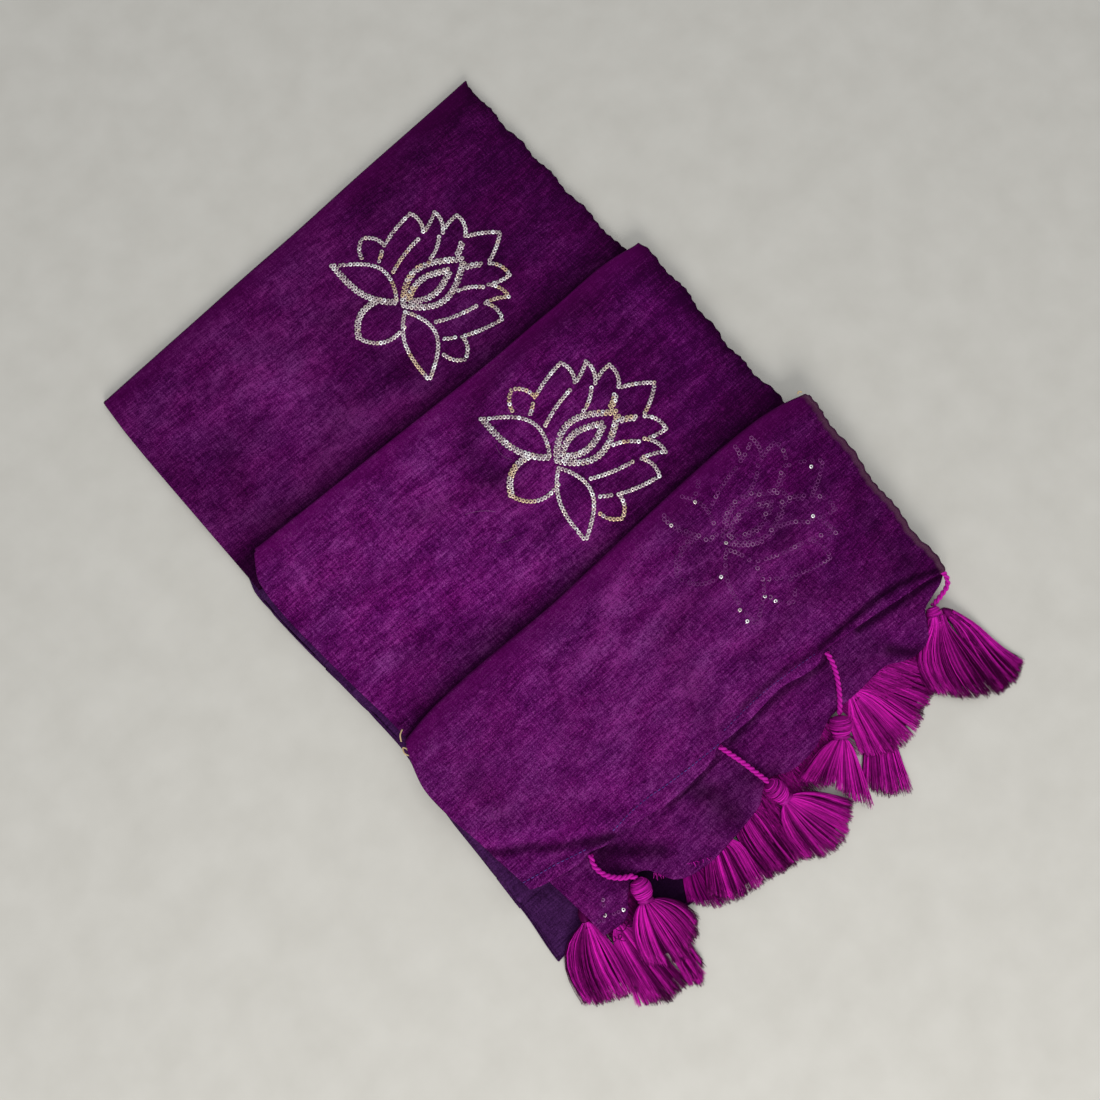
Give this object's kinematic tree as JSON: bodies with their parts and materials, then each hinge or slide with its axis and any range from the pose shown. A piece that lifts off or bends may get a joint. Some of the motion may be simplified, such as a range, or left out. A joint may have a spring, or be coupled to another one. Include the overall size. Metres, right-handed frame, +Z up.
{
  "type": "folded saree",
  "caption": "Folded sheer cotton saree laid flat in stepped stretches, with its pallu hem and thread tassels showing at one end",
  "frame": {"origin": "under the middle of the folded saree, on the surface it lies on", "axes": "+X along the fold edges towards the open selvages, +Y away from the tassels, +Z up"},
  "size_m": [0.3343, 0.5133, 0.0173],
  "materials": {
    "saree_cloth": "sheer plain-weave cotton, soft sheen",
    "shaded_cloth": "the same cotton in the shade of the pile",
    "tassel_cord": "two-ply twisted thread",
    "tassel_thread": "silky loose thread"
  },
  "bodies": {
    "root": {"first_stretch": "saree_cloth", "second_stretch": "saree_cloth", "pallu_stretch": "saree_cloth", "lower_pallu_ply": "saree_cloth", "inner_folds": "shaded_cloth", "bottom_ply": "shaded_cloth", "tassel_cord_1": "tassel_cord", "tassel_cord_2": "tassel_cord", "tassel_cord_3": "tassel_cord", "tassel_cord_4": "tassel_cord", "tassel_1": "tassel_thread", "tassel_2": "tassel_thread", "tassel_3": "tassel_thread", "tassel_4": "tassel_thread", "under_tassel_1": "tassel_thread", "under_tassel_2": "tassel_thread", "under_tassel_3": "tassel_thread", "under_tassel_4": "tassel_thread", "under_tassel_5": "tassel_thread", "under_tassel_6": "tassel_thread", "under_tassel_7": "tassel_thread", "under_tassel_8": "tassel_thread", "under_tassel_9": "tassel_thread", "under_tassel_10": "tassel_thread"}
  },
  "joints": []
}
